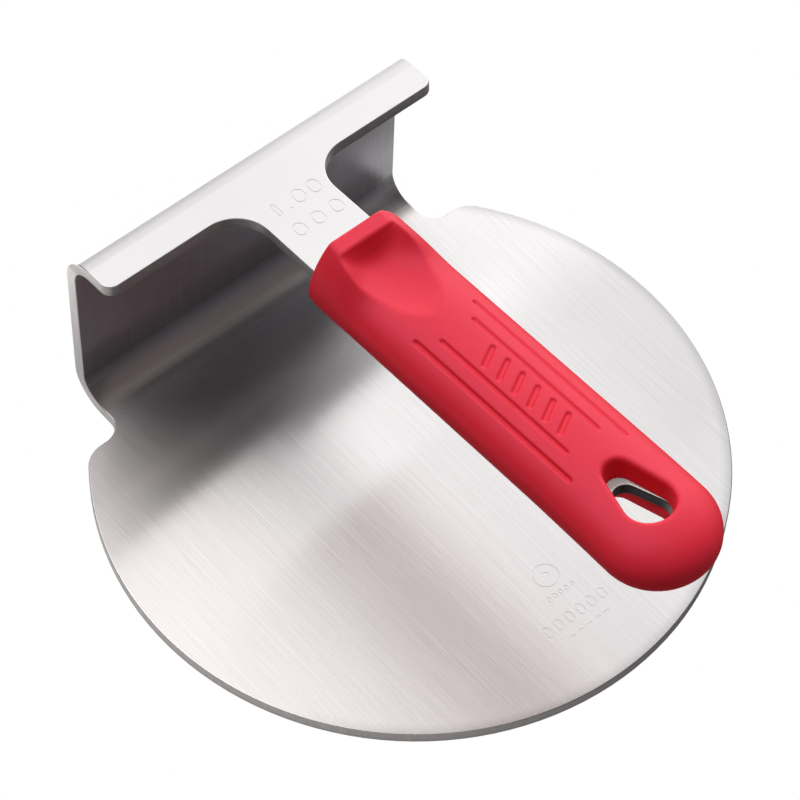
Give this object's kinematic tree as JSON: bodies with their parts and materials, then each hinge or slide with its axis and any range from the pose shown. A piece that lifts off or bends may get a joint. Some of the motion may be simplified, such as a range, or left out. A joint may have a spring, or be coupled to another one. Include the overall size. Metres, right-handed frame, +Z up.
{
  "type": "bacon press",
  "caption": "Round flat-plate stovetop press bent from one steel strip, with an upright wall, a folded flange and a tang under a moulded silicone handle sleeve.",
  "frame": {"origin": "centre of the round plate, on its resting face", "axes": "+Z up from the resting face; +Y from the handle tip toward the upright wall; +X along the width of the wall"},
  "size_m": [0.1524, 0.1587, 0.071],
  "materials": {
    "brushed_stainless": "brushed along the handle direction, edges deburred",
    "red_silicone": "matte moulded silicone"
  },
  "bodies": {
    "press": {"press_plate": "brushed_stainless"},
    "sleeve": {"handle_sleeve": "red_silicone"}
  },
  "joints": [
    {"name": "sleeve_slide", "type": "slide", "parent": "press", "child": "sleeve", "axis": [0, -0.9977, 0.0671], "range_m": [0, 0.12]}
  ]
}
